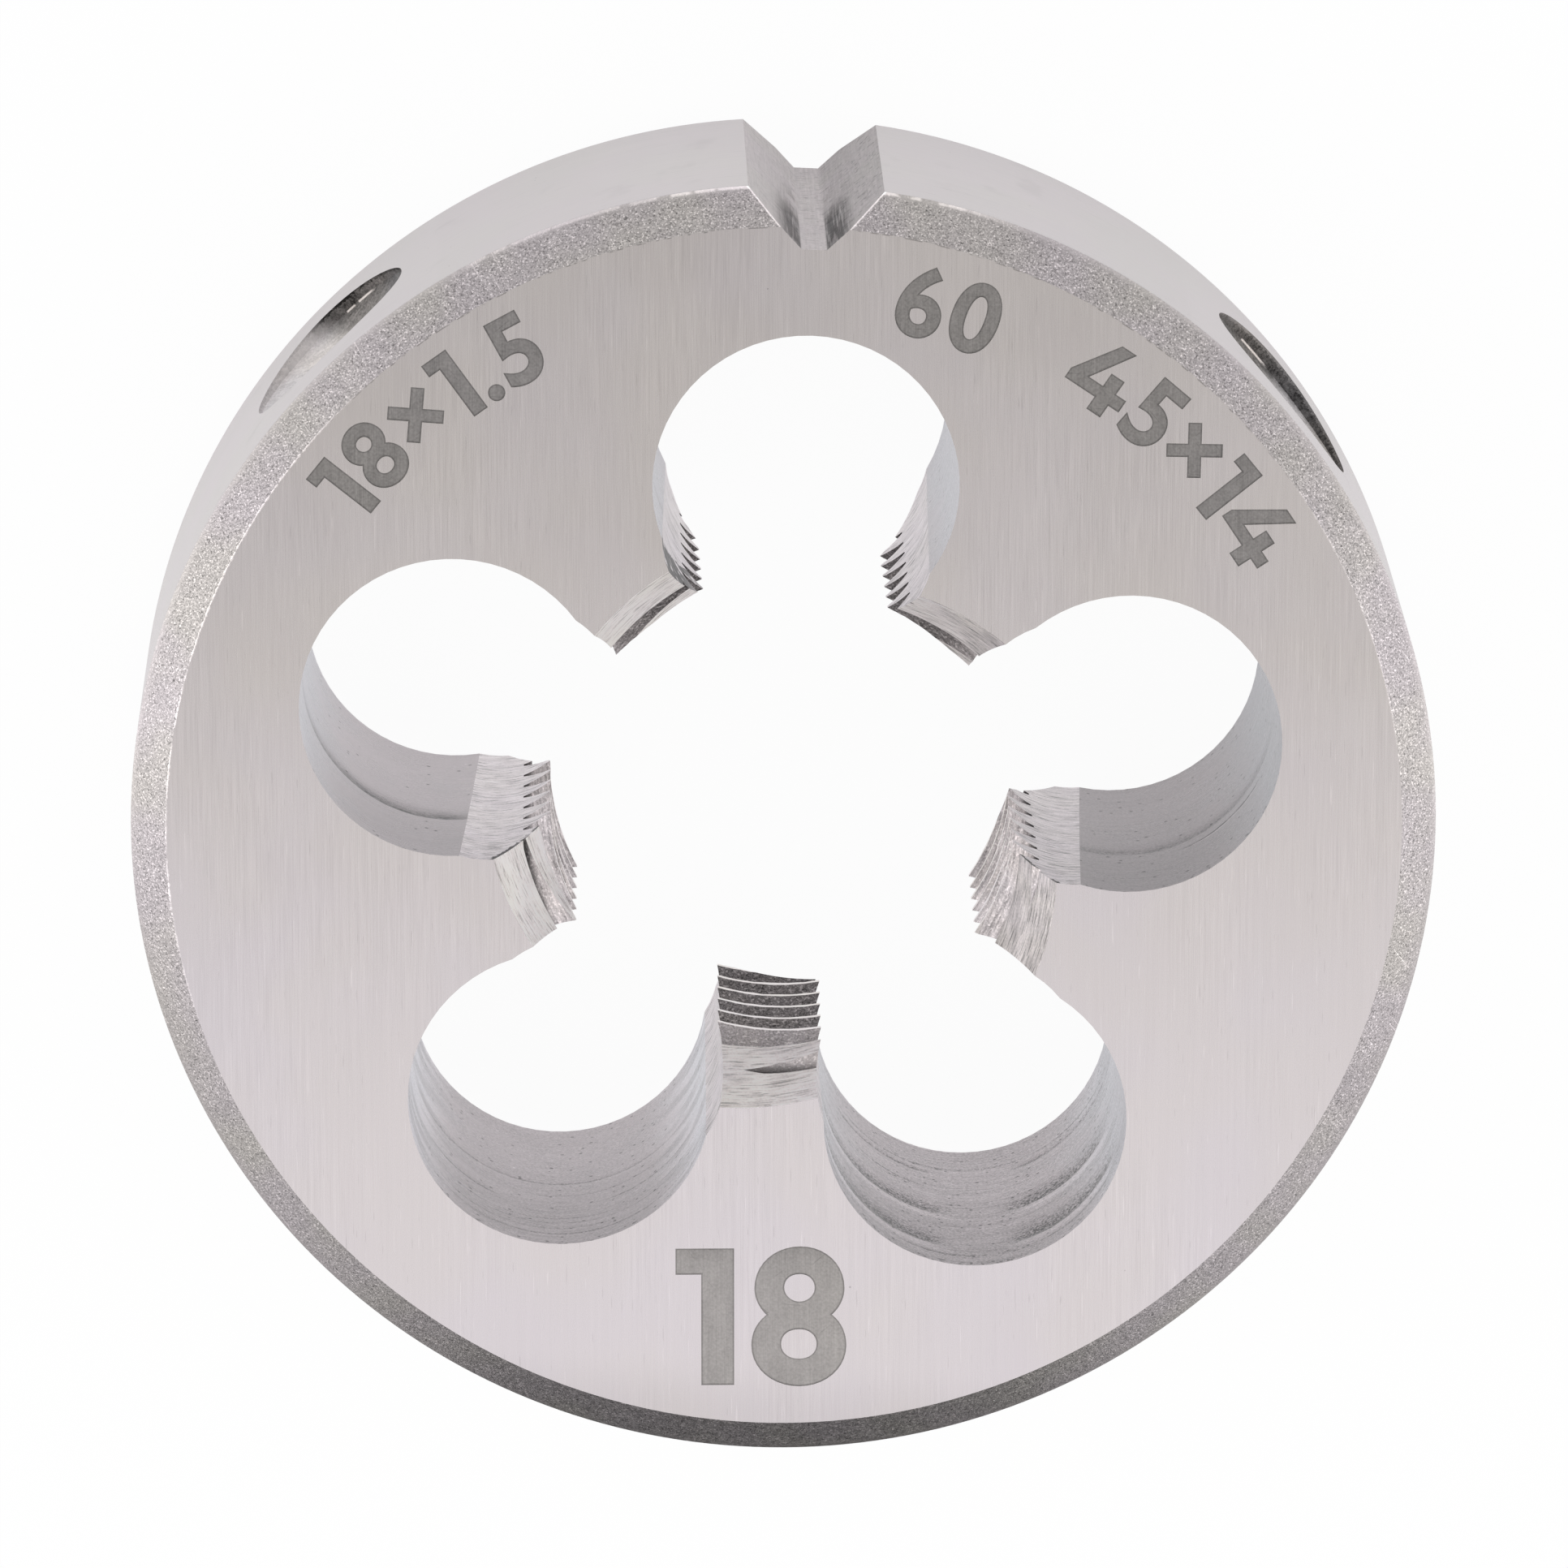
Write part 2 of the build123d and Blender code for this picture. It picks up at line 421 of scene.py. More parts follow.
# The font's 1 is a bare bar and its 4 closes up when made bold, so those two are drawn here, in units
# of a figure's height.
DRAWN = {
    "1": [(0, 1), (0, 0.81), (0.18, 0.81), (0.18, 0), (0.41, 0), (0.41, 1)],
    "4": [(0, 0.20), (0.50, 0.20), (0.50, 0), (0.73, 0), (0.73, 0.20), (0.90, 0.20), (0.90, 0.39),
          (0.73, 0.39), (0.73, 0.60), (0.51, 0.60), (0.51, 0.39), (0.28, 0.39), (0.66, 1), (0.42, 1),
          (0, 0.36)],
}
figure = glyph("8", 0.0)
bar = glyph("1", 0.0)


def drawn(points, inset):
    """Segments of a straight-sided figure in the font's own scale, drawn in by the inset."""
    foot, top = bar[..., 1].min() - WEIGHT, bar[..., 1].max() + WEIGHT
    p = np.array(points, float) * (top - foot) + [0, foot]
    before, after = p - np.roll(p, 1, 0), np.roll(p, -1, 0) - p
    area = np.sum(p[:, 0] * np.roll(p[:, 1], -1) - p[:, 1] * np.roll(p[:, 0], -1))
    inward = [unit(np.stack([-d[:, 1], d[:, 0]], 1)) * np.sign(area) for d in (before, after)]
    p = p + (inward[0] + inward[1]) * inset / (1 + (inward[0] * inward[1]).sum(1, keepdims=True))
    return np.stack([p, np.roll(p, -1, 0)], 1)


def place_text(text, height, put):
    """Outer and inner outlines of a line of text; put turns its points into points on the face."""
    em = height / np.ptp(figure[..., 1])
    outer, inner, x = [], [], 0.0
    for character in text:
        if character in DRAWN:
            shape, core = (drawn(DRAWN[character], inset) for inset in (0, MARK_SHADE_BAND / em))
        else:
            shape, core = (glyph(character, WEIGHT - inset) for inset in (0, MARK_SHADE_BAND / em))
        left, right = shape[..., 0].min(), shape[..., 0].max()
        middle = x + em * (right - left) / 2
        for segments, found in ((shape, outer), (core, inner)):
            local = (segments - [(left + right) / 2, 0]) * em
            found.append(put(local, middle))
        x += em * (right - left) + MARK_GAP * height / MARK_HEIGHT
    return np.concatenate(outer), np.concatenate(inner)


def along_arc(radius, start):
    """Places a line of text along an arc about the die's axis."""
    def put(local, middle):
        a = radians(start) - middle / (radius + MARK_HEIGHT / 2)
        across, up = np.array([sin(a), -cos(a)]), np.array([cos(a), sin(a)])
        return local[..., :1] * across + (local[..., 1:] + radius) * up
    return put


def straight(centre, width, height):
    """Places a line of text level in the picture."""
    a = radians(CAMERA_ROLL)
    across, up = np.array([cos(a), sin(a)]), np.array([-sin(a), cos(a)])

    def put(local, middle):
        return (local[..., :1] + middle - width / 2) * across + (local[..., 1:] - height / 2) * up + centre
    return put


outlines = [place_text(text, MARK_HEIGHT, along_arc(radius, start)) for text, radius, start in ARC_MARKS]
text, centre, width, height = STRAIGHT_MARK
outlines.append(place_text(text, height, straight(centre, width, height)))
outer = np.concatenate([pair[0] for pair in outlines])
inner = np.concatenate([pair[1] for pair in outlines])


def inside(points, segments):
    """Which points an even-odd count of crossings puts inside a set of closed outlines."""
    (ax, ay), (bx, by) = segments[:, 0].T, segments[:, 1].T
    x, y = points[:, :1], points[:, 1:]
    spans = (ay > y) != (by > y)
    rise = np.where(by == ay, 1e-12, by - ay)
    return (spans & (x < (bx - ax) * (y - ay) / rise + ax)).sum(1) % 2 == 1


# The front face is laid anew, with the outlines as edges of its triangles.
# A mark's walls are a surface of their own, so that they meet its bottom in a sharp edge.
# The band inside a mark's outline and the mark's walls take a darker level, as painted shade.
FACE, MARK, MARK_SHADED_EDGE, MARK_WALL = 0, len(names), len(names) + 1, len(names) + 2
names += ["mark", "mark_edge", "mark_edge"]
MERGE = 1e-5
front = [f for f in bm.faces if f[layer] == FACE]
border = [e for e in bm.edges if sum(f[layer] == FACE for f in e.link_faces) == 1]
bmesh.ops.delete(bm, geom=front, context="FACES")
loop_verts = list({v for e in border for v in e.verts})
number = {v: i for i, v in enumerate(loop_verts)}
points = [Vector(v.co[:2]) for v in loop_verts]
edges = [(number[e.verts[0]], number[e.verts[1]]) for e in border]
border_segments = np.array([[v.co[:2] for v in e.verts] for e in border])
for segments in (outer, inner):
    for a, b in segments:
        edges.append((len(points), len(points) + 1))
        points += [Vector(a), Vector(b)]
spots, _, triangles, origins, _, _ = delaunay_2d_cdt(points, edges, [], 0, MERGE, True)
flat = np.array([s[:] for s in spots])
centres = np.array([flat[list(t)].mean(0) for t in triangles])
on_face, in_outer, in_inner = (inside(centres, s) for s in (border_segments, outer, inner))

SMALLEST_PATCH = 0.004
rings_of = [list(zip(t, (*t[1:], t[0]))) for t in triangles]
neighbours = {side: k for k, ring in enumerate(rings_of) for side in ring}
areas = [abs((b - a)[0] * (c - a)[1] - (b - a)[1] * (c - a)[0]) / 2
         for a, b, c in (flat[list(t)] for t in triangles)]


def patch_of(first, state, seen):
    """The triangles not seen before that have the first one's state and hang together with it."""
    seen.add(first)
    patch, queue = [], [first]
    while queue:
        k = queue.pop()
        patch.append(k)
        for i, j in rings_of[k]:
            for other in (neighbours.get((i, j), k), neighbours.get((j, i), k)):
                if other not in seen and state[other] == state[first]:
                    seen.add(other)
                    queue.append(other)
    return patch


# Making the figures bold leaves tiny loops in the tight corners of their outlines. Such a patch of
# triangles is given to what surrounds it.
for state in (in_outer, in_inner):
    seen = set()
    for first in range(len(triangles)):
        patch = [] if first in seen else patch_of(first, state, seen)
        if patch and sum(areas[k] for k in patch) < SMALLEST_PATCH:
            state[patch] = not state[first]
tops, bottoms = {}, {}


def corner(i, low):
    """The face's vertex at a spot, level with the face or at the bottom of a mark."""
    known = bottoms if low else tops
    if i not in known:
        from_border = [k for k in origins[i] if k < len(loop_verts)]
        if from_border and not low:
            known[i] = loop_verts[from_border[0]]
        else:
            known[i] = bm.verts.new((*flat[i], THICKNESS - (MARK_DEPTH if low else 0)))
    return known[i]


sides = {}
for t, a, b, c in zip(triangles, on_face, in_outer, in_inner):
    if not a:
        continue
    t = list(t)
    (x0, y0), (x1, y1), (x2, y2) = flat[t]
    if (x1 - x0) * (y2 - y0) - (x2 - x0) * (y1 - y0) < 0:
        t.reverse()
    f = bm.faces.new([corner(i, b) for i in t])
    f[layer] = (MARK if c else MARK_SHADED_EDGE) if b else FACE
    for i, j in zip(t, t[1:] + t[:1]):
        sides[i, j] = b
for (i, j), low in sides.items():
    if low and not sides.get((j, i), True):
        f = bm.faces.new([corner(j, True), corner(i, True), corner(i, False), corner(j, False)])
        f[layer] = MARK_WALL

for v in bm.verts:
    v.co *= MM
for e in bm.edges:
    beside = {f[layer] for f in e.link_faces}
    e.smooth = len(beside) < 2 or {names[k] for k in beside} == {"notch"}
for f in bm.faces:
    f.smooth = True
    f.material_index = REGIONS.index(names[f[layer]])
mesh = bpy.data.meshes.new("threading_die_steel")
bm.to_mesh(mesh)
bm.free()
die = bpy.data.objects.new("threading_die_steel", mesh)
bpy.context.scene.collection.objects.link(die)


# ---------------- finishes
class Graph:
    """Short ways to add nodes to a node tree."""

    def __init__(self, tree):
        self.tree = tree

    def node(self, kind, **settings):
        node = self.tree.nodes.new(kind)
        for key, value in settings.items():
            setattr(node, key, value)
        return node

    def feed(self, socket, value):
        """Link a node's output to the socket, or set the socket to a number."""
        if isinstance(value, bpy.types.NodeSocket):
            self.tree.links.new(value, socket)
        else:
            socket.default_value = value

    def fill(self, node, *values):
        """Feed the node's first sockets and give its first output."""
        for socket, value in zip(node.inputs, values):
            self.feed(socket, value)
        return node.outputs[0]

    def put(self, node, **values):
        """Feed the node's named sockets and give its first output."""
        for name, value in values.items():
            self.feed(node.inputs[name], value)
        return node.outputs[0]

    def math(self, operation, *values, clamp=False):
        return self.fill(self.node("ShaderNodeMath", operation=operation, use_clamp=clamp), *values)


class Finish(Graph):
    """A bare steel finish. Its patterns are laid out in millimetres in the die's own frame."""

    def __init__(self, name, roughness, anisotropy=0.0, across=(0, 0, 1)):
        self.material = bpy.data.materials.new(name)
        self.material.use_nodes = True
        self.base_roughness = roughness
        super().__init__(self.material.node_tree)
        self.shader = self.tree.nodes["Principled BSDF"]
        self.put(self.shader, Metallic=1, Roughness=roughness, Anisotropic=anisotropy)
        where = self.node("ShaderNodeTexCoord").outputs["Object"]
        self.place = self.vector("SCALE", where, scale=1 / MM)
        split = self.node("ShaderNodeSeparateXYZ")
        self.fill(split, self.place)
        self.x, self.y, self.z = split.outputs
        if anisotropy:
            self.put(self.shader, Tangent=self.fill(self.node("ShaderNodeCombineXYZ"), *across))

    def vector(self, operation, *values, scale=None):
        node = self.node("ShaderNodeVectorMath", operation=operation)
        self.fill(node, *values)
        if scale is not None:
            self.feed(node.inputs["Scale"], scale)
        return node.outputs["Value" if operation in ("LENGTH", "DOT_PRODUCT") else "Vector"]

    def laid(self, size, turn, shift):
        """The place, scaled so that a pattern's unit has this size, one number or one for each axis."""
        size = size if isinstance(size, tuple) else (size, size, size)
        return self.put(self.node("ShaderNodeMapping", vector_type="TEXTURE"), Vector=self.place,
                        Location=(shift, -shift, shift), Rotation=(0, 0, radians(turn)), Scale=size)

    def noise(self, size, detail=2.0, turn=0.0, shift=0.0, rough=0.5):
        """Noise about 0.5 whose grains have this size."""
        return self.put(self.node("ShaderNodeTexNoise"), Scale=1, Detail=detail, Roughness=rough,
                        Vector=self.laid(size, turn, shift))

    def pits(self, cell, radius, share, shift=0.0):
        """1 in round spots of this radius, in this share of cells of this size."""
        node = self.node("ShaderNodeTexVoronoi")
        self.put(node, Scale=1, Vector=self.laid(cell, 0, shift))
        lot = self.fill(self.node("ShaderNodeSeparateColor"), node.outputs["Color"])
        spot = self.ramp(node.outputs["Distance"], 0.6 * radius / cell, radius / cell, 1, 0)
        return self.times(self.math("LESS_THAN", lot, share), spot)

    def ramp(self, value, low, high, start=0.0, end=1.0):
        """From start at low smoothly to end at high."""
        node = self.node("ShaderNodeMapRange", interpolation_type="SMOOTHSTEP")
        return self.fill(node, value, low, high, start, end)

    def patches(self, low, high, *size, **layout):
        """0 where the noise is below low and 1 where it is above high."""
        return self.ramp(self.noise(*size, **layout), low, high)

    def times(self, *values):
        product = values[0]
        for value in values[1:]:
            product = self.math("MULTIPLY", product, value)
        return product

    def floor(self, tone, least):
        return self.math("MAXIMUM", tone, least)

    def weigh(self, base, *parts):
        """base plus each (noise, weight) about the noise's middle."""
        total = base - 0.5 * sum(weight for _, weight in parts)
        for source, weight in parts:
            total = self.math("MULTIPLY_ADD", source, weight, total)
        return total

    def vary(self, level, *parts, base=1.0):
        """base times the level, plus each (noise, share of the level) about its middle."""
        return self.weigh(base * level, *((source, share * level) for source, share in parts))

    def over(self, tone, level, *layers):
        """The tone with each (mask, share of the level) added to it."""
        for mask, share in layers:
            tone = self.math("MULTIPLY_ADD", mask, share * level, tone)
        return tone

    def colour(self, tone, hues, hue):
        """The tone, in a colour between the two hues."""
        node = self.node("ShaderNodeMix", data_type="RGBA")
        self.feed(node.inputs[0], hue)
        for socket, (r, g, b) in zip(node.inputs[6:8], hues):
            self.feed(socket, (r, g, b, 1))
        self.feed(self.shader.inputs["Base Color"], self.vector("SCALE", node.outputs[2], scale=tone))

    def tint(self, tone, hues, drift, lean=None):
        """The tone, in a colour that drifts slowly between the two hues and leans as lean says."""
        hue = self.ramp(self.noise(drift, 1.0, shift=7.0), 0.3, 0.7)
        if lean:
            hue = self.math("MULTIPLY_ADD", hue, 0.4, self.math("MULTIPLY", lean, 0.6))
        self.colour(tone, hues, hue)

    def roughen(self, *parts):
        """Each (noise, weight) changes the roughness about its base."""
        self.put(self.shader, Roughness=self.weigh(self.base_roughness, *parts))

    def bump(self, height, depth):
        """Relief of this depth in millimetres."""
        relief = self.put(self.node("ShaderNodeBump"), Strength=1, Distance=depth * MM, Height=height)
        self.put(self.shader, Normal=relief)

    def radius(self, centre=(0, 0, 0)):
        """The distance from an upright axis through the centre."""
        away = self.vector("SUBTRACT", self.place, tuple(centre))
        return self.vector("LENGTH", self.vector("MULTIPLY", away, (1, 1, 0)))

    def along(self, direction, centre=(0, 0, 0)):
        """How far in this direction from the centre."""
        away = self.vector("SUBTRACT", self.place, tuple(centre))
        return self.vector("DOT_PRODUCT", away, tuple(direction))


ROLL_ACROSS = (cos(radians(CAMERA_ROLL)), sin(radians(CAMERA_ROLL)), 0)

# How much light each finish gives back, and the two hues that it drifts between. The dimple walls' low level
# and the marks' edge bands' lower level are painted shade.
LEVELS = {"face": 0.378, "rear": 0.378, "rim": 0.61, "chamfer": 0.375, "crest": 0.97, "flank": 0.16,
          "rake": 0.86, "lead": 0.94, "notch": 0.50, "dimple_wall": 0.11, "dimple_floor": 0.25,
          "mark": 0.175, "mark_edge": 0.125, "hole": 0.66}
HUES = {"face": ((1.050, 0.972, 0.938), (1.045, 0.968, 1.005)),
        "chamfer": ((1.04, 0.98, 0.945), (1.05, 0.97, 0.995)),
        "rim": ((1.045, 0.978, 1.0), (1.035, 0.985, 0.985)),
        "hole": ((0.985, 0.980, 1.048), (1.055, 0.962, 1.000)),
        "rake": ((1.035, 0.975, 0.985), (1.035, 0.970, 1.000)),
        "lead": ((1.04, 0.985, 0.940), (1.04, 0.975, 0.985)),
        "flank": ((1.06, 0.97, 0.96), (1.05, 0.97, 0.99)),
        "dimple": ((1.045, 0.98, 0.94), (1.02, 0.985, 1.0)),
        "notch": ((1.052, 0.967, 0.995), (1.045, 0.978, 0.978)),
        "mark": ((1.045, 0.985, 0.945), (1.04, 0.98, 0.96))}


def grinding(m):
    """The fine straight lines of a surface grinder."""
    fine = m.noise((0.035, 2.4, 1), 3, CAMERA_ROLL, rough=0.6)
    coarse = m.noise((0.11, 6.0, 1), 2, CAMERA_ROLL, 3.3)
    return fine, coarse


def notch_edge_highlight(m, width):
    """1 on the edges where the notch cuts the front, 0 further than the width from them; a burr's bright line
    is painted there as a highlight.
    """
    lines = []
    for side in (1, -1):
        edge = turned(NOTCH_ANGLE, NOTCH_FLOOR_RADIUS, side * NOTCH_HALF_FLOOR)
        away = m.along(turned(NOTCH_ANGLE, 1, -side) / sqrt(2), edge)
        lines.append(m.ramp(m.math("ABSOLUTE", away), 0.4 * width, width, 1, 0))
    return m.times(m.math("MAXIMUM", *lines), m.ramp(m.y, NOTCH_FLOOR_RADIUS - 0.3, NOTCH_FLOOR_RADIUS))


def burr_highlight(m, inner):
    """The burr's bright line on the torn edge between front face and chamfer, on the lower left and right,
    painted as a highlight.
    """
    jag = m.noise(0.12, 2, shift=2.0)
    reach = m.math("MULTIPLY_ADD", jag, 0.14, -0.045)
    away = m.math("SUBTRACT", m.radius(), FACE_RADIUS)
    away = m.math("MULTIPLY", away, -1.0) if inner else away
    torn = m.math("LESS_THAN", away, reach)
    patch = m.patches(0.36, 0.50, 1.5, 2, shift=6.0)
    lower_left = m.times(m.ramp(m.x, -18, -14.5, 1, 0), m.ramp(m.y, -9, -4))
    right = m.times(m.ramp(m.x, 15, 18.5, 0, 0.40), m.ramp(m.y, 2, 6))
    return m.times(torn, patch, m.math("MAXIMUM", lower_left, right))


def face(name, level):
    """A ground face with a few scores, darker at its foot and torn along its rim, where the burr's bright
    line is painted as a highlight.
    """
    m = Finish(name, 0.27, 0.45, ROLL_ACROSS)
    fine, coarse = grinding(m)
    cloud = m.noise((5, 8, 5), 2, shift=5.0)
    patchy = m.ramp(m.noise((4, 7, 4), 1, shift=15.0), 0.35, 0.62, 0.45, 1.25)
    score = m.patches(0.69, 0.78, (0.06, 1.1, 1), 1, CAMERA_ROLL, 9.1)
    gleam = m.patches(0.70, 0.79, (0.06, 1.6, 1), 1, CAMERA_ROLL, 17.7)
    speck = m.pits(1.6, 0.05, 0.25, 3.0)
    dash = m.times(m.ramp(m.radius(), FACE_RADIUS - 0.05, FACE_RADIUS - 0.03), m.ramp(m.y, 12, 16),
                   m.patches(0.50, 0.58, (0.4, 0.4, 1), 1, shift=4.0))
    foot = m.ramp(m.y, -18.8, -21.2)
    lines = m.times(m.vary(level, (fine, 0.30), (coarse, 0.12), base=0), patchy)
    tone = m.math("ADD", m.vary(level, (cloud, 0.09)), lines)
    # The burr along the rim takes a painted highlight
    tone = m.over(tone, level, (score, -0.13), (gleam, 0.11), (speck, -0.30), (dash, -0.40), (foot, -0.10),
                  (burr_highlight(m, True), 0.55))
    m.tint(tone, HUES["face"], 5.0, m.ramp(m.y, 8, -9))
    m.roughen((fine, 0.10), (cloud, 0.05))
    m.bump(m.weigh(0.5, (fine, 0.6), (coarse, 0.4)), 0.0010)
    return m.material


def blasted(name, level):
    """The grit-blasted chamfers, scratched and nicked, with worn stretches of edge and painted highlights
    along the outer edge, on the burr and where the notch cuts the front.
    """
    m = Finish(name, 0.50)
    r = m.radius()
    grain = m.noise(0.065, 2, rough=0.75)
    clump = m.noise(0.17, 2, shift=3.0)
    cloud = m.noise(2.5, 2, shift=5.0)
    spark = m.patches(0.57, 0.69, 0.07, 1, shift=11.0)
    dark = m.patches(0.57, 0.69, 0.08, 1, shift=13.0)
    scratch = m.times(m.patches(0.68, 0.76, (0.06, 1.8, 1.8), 1, 38, 21.0),
                      m.patches(0.48, 0.58, 3, 0, shift=23.0))
    nick = m.pits(2.2, 0.13, 0.25, 2.0)
    worn = m.ramp(r, RADIUS, RADIUS - 0.30, 0.35, 1.0)
    # Painted highlights: a soft band along the upper outer edge, and bright stretches of the top edge
    outer_edge_highlight = m.times(m.ramp(r, RADIUS - 0.22, RADIUS), m.ramp(m.y, -6, 6))
    top = m.math("ADD", m.ramp(m.y, 18.6, 19.6, 0, 0.5), m.ramp(m.y, 21.6, 22.0, 0, 0.5))
    top_edge_highlight = m.times(m.ramp(r, RADIUS - 0.12, RADIUS - 0.05), top, m.ramp(m.x, 8, 4),
                          m.patches(0.35, 0.50, 0.5, 1, shift=27.0))
    tone = m.vary(level, (grain, 1.9), (clump, 0.6), (cloud, 0.15), base=0)
    tone = m.over(tone, level, (spark, 0.75), (dark, -0.38))
    tone = m.math("MULTIPLY_ADD", tone, worn, level)
    # The burr and the notch's edges take painted highlights, as do the two outer edge bands
    tone = m.over(tone, level, (scratch, 0.55), (nick, 0.45), (burr_highlight(m, False), 0.9),
                  (notch_edge_highlight(m, 0.07), 1.2), (outer_edge_highlight, 0.22), (top_edge_highlight, 0.9))
    m.tint(m.floor(tone, 0.04), HUES["chamfer"], 3.0)
    m.roughen((clump, 0.25))
    m.bump(m.weigh(0.5, (grain, 0.8), (clump, 0.6)), 0.020)
    return m.material


def satin(name, level):
    """The turned rim, stained and scuffed, its upper front edge grained by the blasting."""
    m = Finish(name, 0.36, 0.3)
    lines = m.noise((9, 9, 0.05), 2)
    cloud = m.noise(5, 2, shift=5.0)
    stain = m.patches(0.60, 0.78, (1.6, 1.6, 2.4), 2, shift=8.0)
    fleck = m.pits(0.9, 0.05, 0.25)
    scuff = m.patches(0.68, 0.78, (1.6, 1.6, 0.07), 1, shift=19.0)
    edge = THICKNESS - FRONT_CHAMFER_AXIAL
    rolled = m.times(m.ramp(m.z, edge - 0.25, edge), m.ramp(m.y, -6, 6))
    grain = m.noise(0.08, 2, shift=1.0)
    tone = m.over(m.vary(level, (lines, 0.12), (cloud, 0.08)), level, (scuff, -0.10), (stain, -0.07),
                  (fleck, -0.25), (m.times(rolled, m.math("SUBTRACT", grain, 0.62)), 0.9))
    m.tint(tone, HUES["rim"], 5.0)
    m.roughen((cloud, 0.1), (lines, 0.05))
    m.bump(lines, 0.0012)
    return m.material


BROAD = 1.0


def ring_tone(m, tone, level, angle, height, psi, grain, coarse):
    """The tone with painted shade in a hole's rings, darkest at their upper edge, and a painted highlight
    above the lower right hole's broad rings.
    """
    for ring in HOLE_RINGS[angle]:
        broad = ring.top - ring.bottom > BROAD
        edge = 9 if broad else 4
        span = m.times(m.ramp(psi, ring.first - edge, ring.first + edge),
                       m.ramp(psi, ring.last - edge, ring.last + edge, 1, 0))
        fall = m.ramp(height, ring.bottom, ring.top)
        if broad:
            fall = m.math("POWER", fall, 1.6)
        broken = m.times(m.ramp(m.noise((0.5, 0.5, 0.09), 2, shift=ring.top), 0.25, 0.60, 0.60, 1.25),
                         m.ramp(grain, 0.38, 0.62, 1 + 0.35 * coarse, 1 - 0.35 * coarse))
        shadow = m.times(fall, m.ramp(height, ring.top, ring.top + 0.07, 1, 0), span, broken)
        tone = m.over(tone, level, (shadow, -1.35 * ring.dark))
        if broad and angle == LOWER_RIGHT_HOLE:
            lit = m.times(m.ramp(height, ring.top + 0.06, ring.top + 0.16),
                          m.ramp(height, ring.top + 0.3, ring.top + 0.9, 1, 0), span)
            tone = m.over(tone, level, (lit, 0.24))
    return tone


# Painted light in pale streaks beside the lower holes' middle
PAINTED_SIDE_LIGHT = {LOWER_LEFT_HOLE: 0.36, LOWER_RIGHT_HOLE: 0.12}


def ringed(name, level, angle):
    """The wall of a chip hole, with the rings of HOLE_RINGS and painted shade where it faces up in the
    picture.
    """
    m = Finish(name, 0.28, 0.25)
    share, coarse = HOLE_TONES[angle]
    level = level * share
    centre = turned(angle, HOLE_CIRCLE_RADIUS, 0)
    out, aside = (m.along(turned(angle, *direction), centre) for direction in ((1, 0), (0, 1)))
    psi = m.math("DEGREES", m.math("ARCTAN2", aside, out))
    wobble = m.noise((1.4, 1.4, 0.5), 2, shift=angle * 0.1)
    height = m.math("SUBTRACT", m.math("MULTIPLY_ADD", wobble, 0.22, m.z), 0.11)
    fine = m.noise((2.5, 2.5, 0.045), 3, shift=angle * 0.2, rough=0.6)
    band = m.noise((6, 6, 0.4), 2, shift=angle * 0.3)
    cloud = m.noise(1.8, 2, shift=angle * 0.5)
    grain = m.noise(0.09, 2, shift=angle * 0.7, rough=0.7)
    below = m.ramp(m.math("DIVIDE", m.along((0, -1, 0), centre), HOLE_RADIUS), 0.15, 0.95)
    # Painted shade where the wall faces up in the picture, stronger towards the front face
    painted_wall_shade = m.times(below, m.ramp(m.z, 3.0, 13.0, 0.18, 0.36))
    scored = m.math("SUBTRACT", fine, 0.5)
    if angle == LOWER_LEFT_HOLE:
        scored = m.times(scored, m.ramp(m.z, 7.0, 10.5, 0.15, 1.0))
    pit = m.math("MAXIMUM", m.pits(0.36, 0.08, 0.30 * coarse, 1.0),
                 m.times(m.pits(0.26, 0.08, 0.5 * coarse, 5.0), m.ramp(m.z, 13.5, 13.8)))
    fleck = m.pits(0.60, 0.07, 0.12 * coarse, 4.0)
    tone = m.vary(level, (band, 0.16 * coarse), (cloud, 0.22), (grain, 0.75 * coarse))
    tone = m.over(tone, level, (scored, 0.55 * coarse))
    tone = ring_tone(m, tone, level, angle, height, psi, grain, coarse)
    # Painted light in pale streaks on the wall's sides
    if angle in PAINTED_SIDE_LIGHT:
        beside = m.ramp(m.math("ABSOLUTE", m.along((1, 0, 0), centre)), 3.2, 5.0)
        side_light_streaks = m.patches(0.36, 0.60, (3, 3, 1.1), 1, shift=angle * 0.9)
        tone = m.over(tone, level, (m.times(beside, side_light_streaks), PAINTED_SIDE_LIGHT[angle]))
    tone = m.over(tone, level, (pit, -0.48), (fleck, 0.28), (painted_wall_shade, -1))
    hue = m.math("MULTIPLY_ADD", cloud, 0.6, m.math("MULTIPLY_ADD", below, 1.1, -0.3), clamp=True)
    m.colour(m.floor(tone, 0.05), HUES["hole"], hue)
    m.roughen((cloud, 0.10), (fine, 0.08))
    m.bump(m.math("SUBTRACT", m.weigh(0.5, (fine, 0.5), (band, 0.4), (grain, 0.2)), pit), 0.005)
    return m.material


def lead_edge(m):
    """1 in a torn line where the front lead cones cut the rake faces of the left and right lands."""
    lines = []
    for angle, near, far, start in ((LEFT_LAND, -3, -4, -0.05), (RIGHT_LAND, 3, 4, -0.10)):
        r = m.radius(turned(angle, 0, -LEAD_RELIEF))
        outside = m.math("SUBTRACT", m.math("MULTIPLY_ADD", m.z, -lead_taper, r),
                         lead_radius - THICKNESS * lead_taper)
        jag = m.noise(0.13, 2, shift=2.0 + angle)
        reach = m.math("MULTIPLY_ADD", jag, 0.50, start)
        lines.append(m.times(m.math("LESS_THAN", outside, reach), m.ramp(m.x, near, far)))
    gap = m.patches(0.34, 0.44, 0.5, 1, shift=16.0)
    return m.times(m.math("MAXIMUM", *lines), gap)


